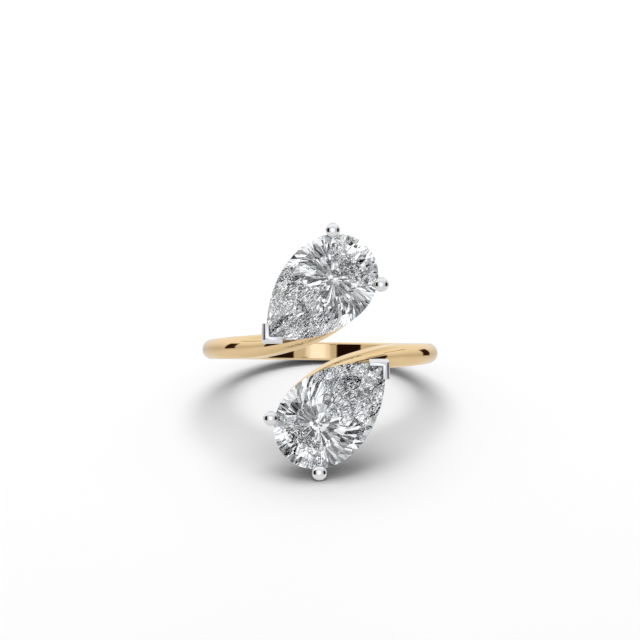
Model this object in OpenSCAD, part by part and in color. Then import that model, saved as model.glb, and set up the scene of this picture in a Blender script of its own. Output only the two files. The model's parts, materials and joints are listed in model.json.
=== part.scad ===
// Toi et moi ring: an open band whose two arms pass each other over the finger.
// Each arm carries a pear-shaped stone in a three-point setting. Half of the ring
// is the other half turned about the head's axis. It lies on its side, as it rests.
// The design frame has X across the finger, Y along it and Z out through the head.

/* [Finger] */
// Diameter of the finger hole
finger_d = 16.9; // [14.5:0.1:21]

/* [Band] */
// Width of the band under the finger
band_w = 1.6; // [1.3:0.05:2.6]
// Thickness of the band
band_t = 1.6; // [1.3:0.05:2.2]
// Width of the shoulders, where the arms begin to part
shoulder_w = 1.9; // [1.4:0.05:2.8]
// Share of the band's thickness that its straight side walls take
wall_share = 0.62; // [0.55:0.01:0.75]
// Cut of the band's inner edges
inner_edge = 0.2; // [0.05:0.01:0.3]

/* [Arms] */
// Width of an arm at its end
arm_end_w = 0.95; // [0.7:0.05:1.3]
// Thickness of an arm at its end
arm_end_t = 0.95; // [0.7:0.05:1.2]
// Straight share of the side walls at an arm's end
arm_wall_share = 0.72; // [0.55:0.01:0.8]
// Rise of an arm's end above the finger
arm_rise = 2.1; // [1.6:0.1:2.4]
// Lean of an arm's face towards its stone
arm_lean = 22; // [0:1:30]
// How far an arm's end is turned back from the finger's curve to face outwards
arm_upright = 16; // [0:1:25]

/* [Stones] */
// Length of a stone from tip to round end
stone_l = 11; // [9:0.1:13.4]
// Width of a stone
stone_w = 7.2; // [6:0.1:8.8]
// Length of the round end, from the widest line outwards
round_l = 4.1; // [3.3:0.1:5]
// Half of the angle between the edges at the tip
tip_half_angle = 51; // [45:1:55]
// Height of the crown over the girdle
crown_h = 1.05; // [0.8:0.05:1.4]
// Thickness of the girdle
girdle_t = 0.25; // [0.2:0.01:0.4]
// Depth of the pavilion under the girdle
pavilion_h = 3.1; // [2.6:0.1:3.8]
// Size of the table as a share of the outline
table_share = 0.58; // [0.5:0.01:0.66]

/* [Head] */
// From the head's axis to each tip, across the finger
tip_across = 4.79; // [4.2:0.05:5.6]
// From the finger's middle plane to each tip, along the finger
tip_along = 1.09; // [0.9:0.05:1.5]
// Turn of each stone's long axis from the across direction
stone_turn = 41.8; // [36:0.2:48]
// Gap between the finger and the point under each stone
culet_gap = 0.3; // [0.2:0.05:0.8]

/* [Claws] */
// Diameter of a claw's round tip
claw_d = 1.2; // [1:0.05:1.5]
// How far the middle of a claw stands outside the girdle
claw_out = 0.31; // [0.2:0.01:0.4]
// Angle of the claws from the stone's long axis
claw_angle = 45; // [38:1:52]
// Height of the middle of a claw's tip over the girdle
claw_up = 0.2; // [0.1:0.05:0.4]
// Diameter of a claw's stem beside the girdle
stem_d = 1; // [0.8:0.05:1.2]
// Diameter of a claw's stem at its foot
stem_foot_d = 0.5; // [0.4:0.05:0.55]

/* [V-prong] */
// Length of each leg of the V-prong
vee_leg = 1.66; // [1.4:0.02:2]
// Thickness of the legs
vee_wall = 0.57; // [0.45:0.01:0.7]
// Bevel along the outer top edge
vee_bevel = 0.22; // [0.1:0.01:0.3]
// Height of the V-prong over the girdle
vee_up = 0.2; // [0.15:0.01:0.4]
// Distance across the finger from the stone's tip to the outer corner
vee_across = 0.38; // [0.3:0.01:0.5]
// Distance along the finger from the stone's tip to the outer corner
vee_along = 0.47; // [0.3:0.01:0.5]

/* [Gallery rail] */
// How far the rail lies inside the stone's outline at its widest
rail_in = 1.85; // [1.7:0.05:2.1]
// How far the rail lies inside the stone's tip
rail_tip_in = 2.2; // [1.8:0.1:2.8]
// Width of the rail
rail_w = 0.6; // [0.4:0.05:0.7]
// Height of the rail
rail_h = 0.7; // [0.5:0.05:0.8]

/* [Fit] */
// Gap between a setting and what it holds or stands on
seat_gap = 0.03; // [0.02:0.005:0.05]

/* [Rest] */
// Roll of the ring as it lies, towards the claw that touches the table
rest_roll = 2.6; // [0:0.1:4]

/* [Hidden] */
$fn = 48;
tiny = 0.001;

finger_r = finger_d / 2;
half_w = stone_w / 2;
wing_l = stone_l - round_l;
girdle_z = finger_r + culet_gap + pavilion_h;
stone_mid = [-tip_across + wing_l * cos(stone_turn), tip_along + wing_l * sin(stone_turn)];

function unit(v) = v / norm(v);

// Outline of a stone. Its axis is U, with the round end at +U and the tip at -U.
// A station runs from 0 at the round end over 0.5 at the widest line to 1 at the tip,
// and on to 2 back along the other side. The wing is a Bezier curve.
wing_belly = 0.45 * wing_l;
wing_point = 0.34 * wing_l;
function wing(f) =
    let (widest = [0, half_w], tip = [-wing_l, 0])
    pow(1 - f, 3) * widest
    + 3 * pow(1 - f, 2) * f * (widest - [wing_belly, 0])
    + 3 * (1 - f) * f * f * (tip + wing_point * [cos(tip_half_angle), sin(tip_half_angle)])
    + pow(f, 3) * tip;
function half_rim(s) = s <= 0.5 ? [round_l * cos(180 * s), half_w * sin(180 * s)] : wing(2 * s - 1);
function mirrored(p) = [p[0], -p[1]];
function rim(s) = s <= 1 ? half_rim(max(s, 0)) : mirrored(half_rim(2 - s));
function at_point(s) = abs(s - 1) < tiny || s < tiny || s > 2 - tiny;
function rim_normal(s) =
    at_point(s) ? [abs(s - 1) < tiny ? -1 : 1, 0]
    : let (t = unit(rim(s + tiny) - rim(s - tiny))) [t[1], -t[0]];

// Stone with flat facets: eight main facets around the crown and the pavilion,
// star facets round the table, and two girdle facets between each pair of mains.
// A grown copy leaves the seat gap all round.
culet_fwd = 0.35;
mains = [0, 0.25, 0.5, 0.75, 1, 1.25, 1.5, 1.75];
main_count = len(mains);
rim_steps = 6;
rim_count = main_count * rim_steps;
star_share = 0.5;
lower_share = 0.22;
culet_grow = 1.5;

function main_at(i) = mains[i % main_count];
function rim_at(j, grow) =
    let (s = 2 * (j % rim_count) / rim_count, reach = abs(s - 1) < tiny ? grow / sin(tip_half_angle) : grow)
    rim(s) + rim_normal(s) * reach;
function level(p, n, depth, height, slope_h) = p * n - depth * slope_h / height;
// Point where two neighbouring main planes meet, at a share of the height between girdle and centre
function meet(g, n, inner, height, share, i) =
    let (
        a = i % main_count,
        b = (i + 1) % main_count,
        ra = g[a] * n[a] - share * ((g[a] - inner[a]) * n[a]),
        rb = g[b] * n[b] - share * ((g[b] - inner[b]) * n[b]),
        det = n[a][0] * n[b][1] - n[a][1] * n[b][0]
    )
    [(ra * n[b][1] - rb * n[a][1]) / det, (rb * n[a][0] - ra * n[b][0]) / det];
// Height at p of the plane through three points
function plane_z(a, b, c, p) =
    let (n = cross(b - a, c - a)) a[2] - (n[0] * (p[0] - a[0]) + n[1] * (p[1] - a[1])) / n[2];
// Height of the girdle's edge at rim point j, where a girdle facet cuts the girdle
function edge_z(j, girdle, meets, z) =
    let (
        i = floor(j / rim_steps),
        k = j % rim_steps,
        half = rim_steps / 2,
        from = k <= half ? i * rim_steps : i * rim_steps + half,
        to = k <= half ? i * rim_steps + half : (i + 1) * rim_steps % rim_count,
        a = girdle[from],
        b = girdle[to]
    )
    k == 0 || k == half ? z
    : plane_z(meets[i], [a[0], a[1], z], [b[0], b[1], z], girdle[j]);

module brilliant(grow = 0) {
    top = girdle_t + grow;
    low = -grow;
    girdle = [for (j = [0:rim_count - 1]) rim_at(j, grow)];
    g = [for (i = [0:main_count - 1]) girdle[i * rim_steps]];
    n = [for (i = [0:main_count - 1]) rim_normal(mains[i])];
    culet = [culet_fwd, 0];
    centre = [for (i = [0:main_count - 1]) culet];
    table = [for (p = g) culet + table_share * (p - culet)];
    culet_z = -pavilion_h - culet_grow * grow;
    stars = [for (i = [0:main_count - 1])
        let (p = meet(g, n, table, crown_h, star_share, i)) [p[0], p[1], top + star_share * crown_h]];
    lowers = [for (i = [0:main_count - 1])
        let (share = 1 - lower_share, p = meet(g, n, centre, pavilion_h, share, i))
        [p[0], p[1], low + share * (culet_z - low)]];
    upper = [for (j = [0:rim_count - 1]) [girdle[j][0], girdle[j][1], edge_z(j, girdle, stars, top)]];
    lower = [for (j = [0:rim_count - 1]) [girdle[j][0], girdle[j][1], edge_z(j, girdle, lowers, low)]];
    table_top = [for (p = table) [p[0], p[1], top + crown_h]];
    points = concat(upper, lower, table_top, stars, lowers, [[culet[0], culet[1], culet_z]]);
    t0 = 2 * rim_count;
    s0 = t0 + main_count;
    l0 = s0 + main_count;
    c0 = l0 + main_count;
    half = rim_steps / 2;
    around = [0:main_count - 1];
    function next(i) = (i + 1) % main_count;
    function prev(i) = (i + main_count - 1) % main_count;
    function run(i, from, to, step) = [for (k = [from:step:to]) (i * rim_steps + k) % rim_count];
    facets = concat(
        [[for (i = around) t0 + i]],
        [for (i = around) [t0 + i, s0 + i, t0 + next(i)]],
        [for (i = around) [t0 + i, s0 + prev(i), i * rim_steps, s0 + i]],
        [for (i = around) concat([s0 + i], run(i, 0, half, 1))],
        [for (i = around) concat([s0 + i], run(i, half, rim_steps, 1))],
        [for (j = [0:rim_count - 1])
            let (m = (j + 1) % rim_count) [rim_count + j, rim_count + m, m, j]],
        [for (i = around) concat([l0 + i], [for (j = run(i, half, 0, -1)) j + rim_count])],
        [for (i = around) concat([l0 + i], [for (j = run(i, rim_steps, half, -1)) j + rim_count])],
        [for (i = around) [c0, l0 + i, rim_count + i * rim_steps, l0 + prev(i)]]
    );
    polyhedron(points = points, faces = [for (f = facets) [for (k = [len(f) - 1:-1:0]) f[k]]]);
}

// Band. Each row of its table is one station of the half that carries the upper stone,
// from the bottom of the finger to the arm's end. The other half is the same, turned.
TURN = 0;
ALONG = 1;
LIFT = 2;
WIDTH = 3;
THICK = 4;
WALL = 5;
LEAN = 6;
BACK = 7;

// Shank rows: turn from the head's axis, then shares: place along the finger of the
// tip's, width between band and shoulder, and lean of the arm's
shank_shares = [
    [180, 0, 0, 0],
    [150, 0.05, 0, 0],
    [120, 0.1, 0.02, 0],
    [95, 0.14, 0.1, 0],
    [70, 0.19, 0.4, 0],
    [50, 0.3, 0.9, 0.1],
    [35, 0.4, 0.85, 0.35]
];
// Arm rows: station on the stone's outline, then shares: edge outside the stone of the
// band's width, rise of the arm's, and how far width, thickness and walls have gone
// from the shoulder's to the arm end's, and lean of the arm's
arm_shares = [
    [1.125, 0.58, 0, 0.3, 0.2, 0.8],
    [1.25, 0.3, 0.06, 0.45, 0.4, 1],
    [1.375, 0.06, 0.24, 0.62, 0.6, 1],
    [1.49, -0.06, 0.55, 0.8, 0.78, 1],
    [1.59, -0.08, 0.83, 0.92, 0.9, 1],
    [1.66, -0.06, 1, 1, 1, 1]
];

function between(a, b, share) = a + (b - a) * share;
function on_stone(p) =
    stone_mid + [p[0] * cos(stone_turn) - p[1] * sin(stone_turn), p[0] * sin(stone_turn) + p[1] * cos(stone_turn)];
function shank_row(r) = [
    r[0], r[1] * tip_along, 0, between(band_w, shoulder_w, r[2]), band_t, wall_share, r[3] * arm_lean, 0
];
function arm_row(r) =
    let (
        width = between(shoulder_w, arm_end_w, r[3]),
        p = on_stone(rim(r[0]) + rim_normal(r[0]) * (r[1] * band_w - width / 2)),
        lift = r[2] * arm_rise
    )
    [
        -asin(p[0] / (finger_r + lift)), p[1], lift, width, between(band_t, arm_end_t, r[4]),
        between(wall_share, arm_wall_share, r[4]), r[5] * arm_lean, r[2] * arm_upright
    ];
rows = concat([for (r = shank_shares) shank_row(r)], [for (r = arm_shares) arm_row(r)]);
last = len(rows) - 1;
// The same row on the other half of the band
function turned(r) = [
    360 - r[TURN], -r[ALONG], r[LIFT], r[WIDTH], r[THICK], r[WALL], -r[LEAN], -r[BACK]
];
function row(i) =
    i < 0 ? turned(row(-i))
    : i > last ? 2 * rows[last] - rows[2 * last - i]
    : rows[i];
// Control points of a smooth cubic through the rows
function control(i) = row(i) - (row(i - 1) - 2 * row(i) + row(i + 1)) / 6;
function station(q) =
    let (i = floor(q), f = q - i)
    (pow(1 - f, 3) * control(i - 1)
    + (3 * pow(f, 3) - 6 * f * f + 4) * control(i)
    + (3 * f * f + 3 * f + 1 - 3 * pow(f, 3)) * control(i + 1)
    + pow(f, 3) * control(i + 2)) / 6;
function base(r) =
    let (radius = finger_r + r[LIFT]) [-radius * sin(r[TURN]), r[ALONG], radius * cos(r[TURN])];

steps = 5;
dome_points = 9;
// Depth of the base inside the finger hole, before the hole is cut
bite = 0.1;
// Rounding of the arms' ends, in rows
end_rows = 0.35;
end_flat = 0.35;

// Cross-section points as [across, out], from the base round the dome
function profile(width, thick, wall, sink, grow) =
    let (
        hw = width / 2 + grow,
        top = thick + grow,
        wall_top = wall * thick,
        sag = top - wall_top,
        radius = (hw * hw + sag * sag) / (2 * sag),
        reach = asin(min(1, hw / radius))
    )
    concat(
        [[-hw + inner_edge, -sink - grow], [hw - inner_edge, -sink - grow], [hw, inner_edge], [hw, wall_top]],
        [for (k = [1:dome_points])
            let (a = reach * (1 - 2 * k / (dome_points + 1))) [radius * sin(a), top - radius * (1 - cos(a))]],
        [[-hw, wall_top], [-hw, inner_edge]]
    );
function section(q, grow) =
    let (
        r = station(q),
        here = base(r),
        tangent = unit(base(station(q + tiny)) - base(station(q - tiny))),
        face = r[TURN] + r[BACK],
        radial = [-sin(face), 0, cos(face)],
        out = unit(radial - (radial * tangent) * tangent),
        side = cross(out, tangent),
        leaned = out * cos(r[LEAN]) + side * sin(r[LEAN]),
        across = side * cos(r[LEAN]) - out * sin(r[LEAN]),
        past = min(1, max(0, (abs(q) - last + end_rows) / end_rows)),
        shrink = sqrt(1 - (1 - end_flat * end_flat) * past * past),
        middle = here + out * r[THICK] / 2,
        sink = bite * max(0, 1 - r[LIFT] / bite)
    )
    [for (p = profile(r[WIDTH] * shrink, r[THICK] * shrink, r[WALL], sink, grow))
        middle + across * p[0] + leaned * (p[1] - r[THICK] * shrink / 2)];

module sweep(sections, closed = false) {
    count = len(sections);
    sides = len(sections[0]);
    joins = closed ? count : count - 1;
    walls = [for (i = [0:joins - 1], k = [0:sides - 1])
        let (
            a = i * sides + k,
            b = i * sides + (k + 1) % sides,
            c = ((i + 1) % count) * sides + (k + 1) % sides,
            d = ((i + 1) % count) * sides + k
        )
        each [[a, c, b], [a, d, c]]];
    caps = closed ? [] : concat(
        [[for (k = [0:sides - 1]) k]],
        [[for (k = [sides - 1:-1:0]) (count - 1) * sides + k]]
    );
    polyhedron(points = [for (s = sections) each s], faces = concat(walls, caps));
}
module band_between(from, to, grow = 0) {
    count = round((to - from) * steps);
    sweep([for (k = [0:count]) section(from + (to - from) * k / count, grow)]);
}
module finger_hole() {
    rotate([90, 0, 0])
        cylinder(r = finger_r, h = 4 * (tip_along + stone_l), center = true, $fn = 120);
}

module band() {
    color("goldenrod") difference() {
        band_between(-last, last);
        finger_hole();
    }
}

// Settings. These are in the stone's own frame, with Z from the girdle's lower edge.
module on_head() {
    translate([stone_mid[0], stone_mid[1], girdle_z]) rotate([0, 0, stone_turn]) children();
}
module half_turn() {
    rotate([0, 0, 180]) children();
}

// Claws
claw_station = atan2(round_l * sin(claw_angle), half_w * cos(claw_angle)) / 180;
claw_foot_shift = 0.05;
knee_z = -0.35;
rail_top = -1.9;
rail_mid = rail_top - rail_h / 2;
function claw_plan(s) = rim(s) + rim_normal(s) * claw_out;

// Rail under the stone, a smaller pear nested inside the arm
rail_side = 1 - rail_in / half_w;
rail_tip = 1 - rail_tip_in / (wing_l + culet_fwd);
rail_round = 1 - rail_in / (round_l - culet_fwd);
function rail_plan(s) =
    let (p = rim(s), u = p[0] - culet_fwd)
    [culet_fwd + u * (u < 0 ? rail_tip : rail_round), p[1] * rail_side];
rail_count = 48;
rail_corner = 0.12;
function rail_section(s) =
    let (
        ahead = rail_plan((s + tiny) % 2),
        behind = rail_plan((s + 2 - tiny) % 2),
        t = unit(ahead - behind),
        n = [t[1], -t[0]],
        p = rail_plan(s),
        w = rail_w / 2,
        h = rail_h / 2,
        c = rail_corner
    )
    [for (q = [[w - c, -h], [c - w, -h], [-w, c - h], [-w, h - c], [c - w, h], [w - c, h], [w, h - c], [w, c - h]])
        [p[0] + n[0] * q[0], p[1] + n[1] * q[0], rail_mid + q[1]]];
module rail() {
    sweep([for (k = [0:rail_count - 1]) rail_section(2 * k / rail_count)], closed = true);
}

// A claw is a chain of balls from the rail to beside the girdle, with a larger ball on top.
// It leans out from the rail and then stands upright.
stem_links = 4;
ball_sides = 16;
function claw_heel(s) =
    let (foot = rail_plan(s < 1 ? s + claw_foot_shift : s - claw_foot_shift)) [foot[0], foot[1], rail_mid];
function claw_balls(s) =
    let (p = claw_plan(s), heel = claw_heel(s), knee = [p[0], p[1], knee_z], top = [p[0], p[1], girdle_t])
    [for (k = [0:stem_links])
        let (f = k / stem_links)
        [(1 - f) * (1 - f) * heel + 2 * f * (1 - f) * knee + f * f * top, between(stem_foot_d, stem_d, f)]];
module ball(at, d) {
    translate(at) sphere(d = d, $fn = ball_sides);
}
module link(from, to) {
    hull() {
        ball(from[0], from[1]);
        ball(to[0], to[1]);
    }
}
module claw(s) {
    balls = claw_balls(s);
    for (k = [1:stem_links]) link(balls[k - 1], balls[k]);
    ball([claw_plan(s)[0], claw_plan(s)[1], girdle_t + claw_up], claw_d);
}

// V-prong over the tip, with its legs across and along the finger. It narrows downwards
// to a foot on the arm. Its levels are heights over the girdle's lower edge.
vee_top = girdle_t + vee_up;
vee_foot = -girdle_z + sqrt(pow(finger_r + band_t / 2, 2) - pow(tip_across + vee_across, 2));
vee_foot_leg = 0.3;
// Row of the band that the V-prong stands on
vee_row = 6;
vee_corner_r = 0.3;
vee_corner_steps = 4;
function vee_outline(leg, inset, z) =
    let (
        c = vee_corner_r,
        arc = [for (k = [0:vee_corner_steps])
            let (a = 180 + 90 * k / vee_corner_steps) [inset + c + c * cos(a), inset + c + c * sin(a)]]
    )
    [for (p = concat(arc, [[leg, inset], [leg, vee_wall], [vee_wall, vee_wall], [vee_wall, leg], [inset, leg]]))
        [p[0], p[1], z]];
module vee() {
    corner = [-tip_across - vee_across, tip_along - vee_along, girdle_z];
    waist = knee_z - vee_bevel;
    difference() {
        translate(corner) sweep([
            vee_outline(vee_leg * vee_foot_leg + vee_wall / 2, 0, vee_foot),
            vee_outline(vee_leg * 0.8, 0, waist),
            vee_outline(vee_leg, 0, knee_z / 2),
            vee_outline(vee_leg, 0, vee_top - vee_bevel),
            vee_outline(vee_leg, vee_bevel * 0.3, vee_top - vee_bevel * 0.3),
            vee_outline(vee_leg, vee_bevel, vee_top)
        ]);
        band_between(vee_row - 1.5, vee_row + 1.5, grow = seat_gap);
    }
}
module vee_strut() {
    tip = rim(1);
    heel = rail_plan(1);
    link([[heel[0], heel[1], rail_mid], stem_foot_d], [[tip[0], tip[1], knee_z - stem_d], stem_foot_d]);
}

module setting() {
    difference() {
        union() {
            vee();
            on_head() {
                vee_strut();
                rail();
                claw(claw_station);
                claw(2 - claw_station);
            }
        }
        on_head() brilliant(grow = seat_gap);
    }
}

module setting_upper() {
    color("silver") setting();
}
module setting_lower() {
    color("silver") half_turn() setting();
}
module stone_upper() {
    color("lightcyan") on_head() brilliant();
}
module stone_lower() {
    color("lightcyan") half_turn() on_head() brilliant();
}

// Rest. The lower stone's outer claw and the back of the band touch the table. The tilt is
// the largest one at which a ball of that claw is level with the band's rounded back.
dome_sag = band_t * (1 - wall_share);
dome_r = (pow(band_w / 2, 2) + dome_sag * dome_sag) / (2 * dome_sag);
back = finger_r + band_t - dome_r;
rest_tilt = max([for (b = claw_balls(claw_station))
    let (out = on_stone(b[0])[1], up = girdle_z + b[0][2] + back)
    atan2(out, up) + asin((b[1] / 2 - dome_r) / norm([out, up]))]);
module at_rest() {
    rotate([0, rest_roll, 0]) rotate([90 - rest_tilt, 0, 0]) children();
}

at_rest() band();
at_rest() setting_upper();
at_rest() setting_lower();
at_rest() stone_upper();
at_rest() stone_lower();
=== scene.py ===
import json
import logging
import math
from dataclasses import dataclass
from enum import Enum, IntEnum

import bmesh
import bpy
import numpy as np
from mathutils import Matrix, Vector


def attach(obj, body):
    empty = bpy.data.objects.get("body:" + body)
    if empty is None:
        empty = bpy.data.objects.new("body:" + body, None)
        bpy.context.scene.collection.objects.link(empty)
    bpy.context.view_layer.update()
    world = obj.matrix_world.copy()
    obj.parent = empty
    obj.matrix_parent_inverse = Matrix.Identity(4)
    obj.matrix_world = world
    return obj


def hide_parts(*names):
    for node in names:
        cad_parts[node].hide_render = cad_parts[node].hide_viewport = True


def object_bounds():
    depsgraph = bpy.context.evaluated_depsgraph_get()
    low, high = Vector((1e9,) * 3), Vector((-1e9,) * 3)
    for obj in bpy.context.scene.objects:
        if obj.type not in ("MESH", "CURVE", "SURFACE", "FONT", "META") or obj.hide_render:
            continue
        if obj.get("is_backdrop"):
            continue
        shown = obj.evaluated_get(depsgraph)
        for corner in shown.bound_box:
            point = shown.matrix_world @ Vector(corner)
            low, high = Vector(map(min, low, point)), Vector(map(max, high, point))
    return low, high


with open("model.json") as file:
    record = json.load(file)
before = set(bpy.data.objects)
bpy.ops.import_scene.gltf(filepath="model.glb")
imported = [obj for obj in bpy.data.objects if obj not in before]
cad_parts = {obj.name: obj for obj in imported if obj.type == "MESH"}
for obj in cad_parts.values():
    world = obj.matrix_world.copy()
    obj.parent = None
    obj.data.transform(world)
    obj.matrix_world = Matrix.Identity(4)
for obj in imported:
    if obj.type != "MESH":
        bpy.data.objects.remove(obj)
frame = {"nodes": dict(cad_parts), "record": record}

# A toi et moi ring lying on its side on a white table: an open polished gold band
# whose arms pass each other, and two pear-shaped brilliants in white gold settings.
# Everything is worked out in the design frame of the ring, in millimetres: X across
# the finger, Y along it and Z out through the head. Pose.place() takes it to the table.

logging.basicConfig(level=logging.INFO, format="%(message)s")
log = logging.getLogger("ring")

# Vertices and faces of a shell
Skin = tuple[np.ndarray, list[list[int]]]
Tree, Socket = bpy.types.NodeTree, bpy.types.NodeSocket

MM = 0.001
# Step along an outline or a path over which its direction is taken
NUDGE = 0.001
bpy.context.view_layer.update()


class Half(Enum):
    """Which half of the ring a piece belongs to; the lower is the upper turned half round."""

    UPPER = 1.0
    LOWER = -1.0


def linear(code: str) -> tuple[float, float, float, float]:
    """Turn an sRGB hex colour into linear light.

    Args:
        code: Six hex digits, such as "e8d2b0".

    Returns:
        Linear red, green and blue, and an alpha of 1.
    """
    parts = [int(code[i:i + 2], 16) / 255 for i in (0, 2, 4)]
    return tuple(c / 12.92 if c <= 0.04045 else ((c + 0.055) / 1.055) ** 2.4 for c in parts) + (1.0,)


def unit(vectors: np.ndarray) -> np.ndarray:
    """Scale vectors along the last axis to length one."""
    return vectors / np.linalg.norm(vectors, axis=-1, keepdims=True)


# ---------------------------------------------------------------- place on the table

@dataclass(frozen=True)
class Pose:
    """How the ring rests on the table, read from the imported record's finger hole."""

    axis: tuple[float, float, float]

    def turn(self) -> np.ndarray:
        """Rotation from the design frame to the table.

        The ring is tipped about X until the finger axis leans back from upright, and is
        then rolled about Y towards the claw that touches the table.

        Returns:
            A 3 by 3 rotation matrix.
        """
        x, y, z = self.axis
        tip = math.pi / 2 - math.asin(y / math.hypot(x, y, z))
        roll = math.atan2(x, z)
        c, s = math.cos(tip), math.sin(tip)
        about_x = np.array([[1, 0, 0], [0, c, -s], [0, s, c]])
        c, s = math.cos(roll), math.sin(roll)
        about_y = np.array([[c, 0, s], [0, 1, 0], [-s, 0, c]])
        return about_y @ about_x

    def place(self, points: np.ndarray) -> np.ndarray:
        """Take design points in millimetres to table points in metres."""
        return points @ self.turn().T * MM

    def design(self, points: np.ndarray) -> np.ndarray:
        """Take table points in metres back to design points in millimetres."""
        return points @ self.turn() / MM


# ---------------------------------------------------------------- mesh helpers

def quads(rings: int, around: int, closed: bool) -> list[list[int]]:
    """Four-sided faces between neighbouring rings, each of which closes on itself.

    Args:
        rings: Number of rings.
        around: Number of points in each.
        closed: True to join the last ring to the first.

    Returns:
        Lists of vertex numbers.
    """
    ring, spot = np.meshgrid(np.arange(rings if closed else rings - 1), np.arange(around), indexing="ij")
    after, beside = (ring + 1) % rings, (spot + 1) % around
    return np.stack([ring * around + spot, ring * around + beside,
                     after * around + beside, after * around + spot], axis=-1).reshape(-1, 4).tolist()


def grid_mesh(points: np.ndarray, closed: bool) -> Skin:
    """Skin a grid of rings, each of which closes on itself.

    Args:
        points: Array of rings by points by 3.
        closed: True to join the last ring to the first; otherwise each end closes in a
            pole at its ring's middle.

    Returns:
        Vertices and faces, pointing outwards.
    """
    rings, around = points.shape[:2]
    faces = quads(rings, around, closed)
    vertices = points.reshape(-1, 3)
    if not closed:
        poles = np.stack([points[0].mean(axis=0), points[-1].mean(axis=0)])
        first, last = len(vertices), len(vertices) + 1
        here = np.arange(around)
        there = (here + 1) % around
        base = (rings - 1) * around
        faces += np.stack([np.full(around, first), there, here], axis=-1).tolist()
        faces += np.stack([np.full(around, last), base + here, base + there], axis=-1).tolist()
        vertices = np.vstack([vertices, poles])
    return outward(vertices, faces)


def outward(vertices: np.ndarray, faces: list[list[int]]) -> Skin:
    """Turn a closed shell's faces outwards.

    The signed volume is a sixth of the sum of the triple products of the triangles' corners.

    Args:
        vertices: Array of points.
        faces: Lists of vertex numbers.

    Returns:
        The vertices, and the faces in the order that gives a positive volume.
    """
    triangles = np.array([[f[0], f[k], f[k + 1]] for f in faces for k in range(1, len(f) - 1)])
    a, b, c = (vertices[triangles[:, k]] for k in range(3))
    if float(np.einsum("ij,ij->", a, np.cross(b, c))) < 0:
        faces = [f[::-1] for f in faces]
    return vertices, faces


def add_mesh(name: str, vertices: np.ndarray, faces: list[list[int]]) -> bpy.types.Object:
    """Make a smooth-shaded mesh object at the origin.

    Args:
        name: Name of the object and its mesh.
        vertices: Array of points.
        faces: Lists of vertex numbers.

    Returns:
        The linked object.
    """
    mesh = bpy.data.meshes.new(name)
    mesh.from_pydata(vertices.tolist(), [], faces)
    mesh.validate()
    mesh.polygons.foreach_set("use_smooth", np.ones(len(mesh.polygons), dtype=bool))
    mesh.update()
    made = bpy.data.objects.new(name, mesh)
    bpy.context.scene.collection.objects.link(made)
    return made


def vertices_of(mesh: bpy.types.Mesh) -> np.ndarray:
    """Read a mesh's vertices.

    Args:
        mesh: The mesh.

    Returns:
        Array of points.
    """
    flat = np.empty(len(mesh.vertices) * 3)
    mesh.vertices.foreach_get("co", flat)
    return flat.reshape(-1, 3)


def finished(made: bpy.types.Object) -> bpy.types.Mesh:
    """Apply an object's modifiers and give the resulting mesh."""
    return bpy.data.meshes.new_from_object(made.evaluated_get(bpy.context.evaluated_depsgraph_get()))


# ---------------------------------------------------------------- stones

@dataclass(frozen=True)
class Pear:
    """Outline of a stone, with its round end at +U and its tip at -U, and its place on the head."""

    finger_radius: float = 8.45
    length: float = 11.0
    width: float = 7.2
    round_length: float = 4.1
    tip_half_angle: float = 51.0
    belly: float = 0.45
    point: float = 0.34
    culet_forward: float = 0.35
    girdle: float = 0.25
    pavilion: float = 3.1
    culet_gap: float = 0.3
    tip_across: float = 4.79
    tip_along: float = 1.09
    turn: float = 41.8

    @property
    def wing(self) -> float:
        """Length from the widest line to the tip."""
        return self.length - self.round_length

    def rim(self, station: np.ndarray) -> np.ndarray:
        """Points on the outline.

        The round end is a quarter ellipse and the wing a cubic curve on four control
        points, from the widest line to the tip; the other side is its mirror image.

        Args:
            station: 0 at the round end, 0.5 at the widest line, 1 at the tip and on to 2.

        Returns:
            Array of points (u, v).
        """
        station = np.asarray(station, dtype=float)
        near = np.clip(np.where(station <= 1, station, 2 - station), 0, 1)
        side = np.where(station <= 1, 1.0, -1.0)
        angle = np.pi * np.minimum(near, 0.5)
        f = np.clip(2 * near - 1, 0, 1)[..., None]
        slope = math.radians(self.tip_half_angle)
        widest, tip = np.array([0, self.width / 2]), np.array([-self.wing, 0])
        ahead = widest - np.array([self.belly * self.wing, 0])
        behind = tip + self.point * self.wing * np.array([math.cos(slope), math.sin(slope)])
        wing = ((1 - f) ** 3 * widest + 3 * (1 - f) ** 2 * f * ahead
                + 3 * (1 - f) * f * f * behind + f ** 3 * tip)
        ellipse = np.stack([self.round_length * np.cos(angle), self.width / 2 * np.sin(angle)], axis=-1)
        half = np.where((near <= 0.5)[..., None], ellipse, wing)
        return np.stack([half[..., 0], half[..., 1] * side], axis=-1)

    def normal(self, station: np.ndarray) -> np.ndarray:
        """Outward unit normals of the outline, square to the chord over a tiny step."""
        ahead = unit(self.rim(station + NUDGE) - self.rim(station - NUDGE))
        return np.stack([ahead[..., 1], -ahead[..., 0]], axis=-1)

    @property
    def girdle_height(self) -> float:
        """Height of the girdle's lower edge over the finger's axis."""
        return self.finger_radius + self.culet_gap + self.pavilion

    def on_head(self, points: np.ndarray) -> np.ndarray:
        """Take points (u, v, height over the girdle's lower edge) to the design frame.

        Args:
            points: Array of points in the stone's own frame.

        Returns:
            Array of design points.
        """
        c, s = math.cos(math.radians(self.turn)), math.sin(math.radians(self.turn))
        middle = np.array([-self.tip_across + self.wing * c, self.tip_along + self.wing * s,
                           self.girdle_height])
        return points @ np.array([[c, s, 0], [-s, c, 0], [0, 0, 1]]) + middle


# ---------------------------------------------------------------- band

class Column(IntEnum):
    """Columns of the band's table of stations."""

    TURN = 0
    ALONG = 1
    LIFT = 2
    WIDTH = 3
    THICK = 4
    WALL = 5
    LEAN = 6
    BACK = 7


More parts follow.
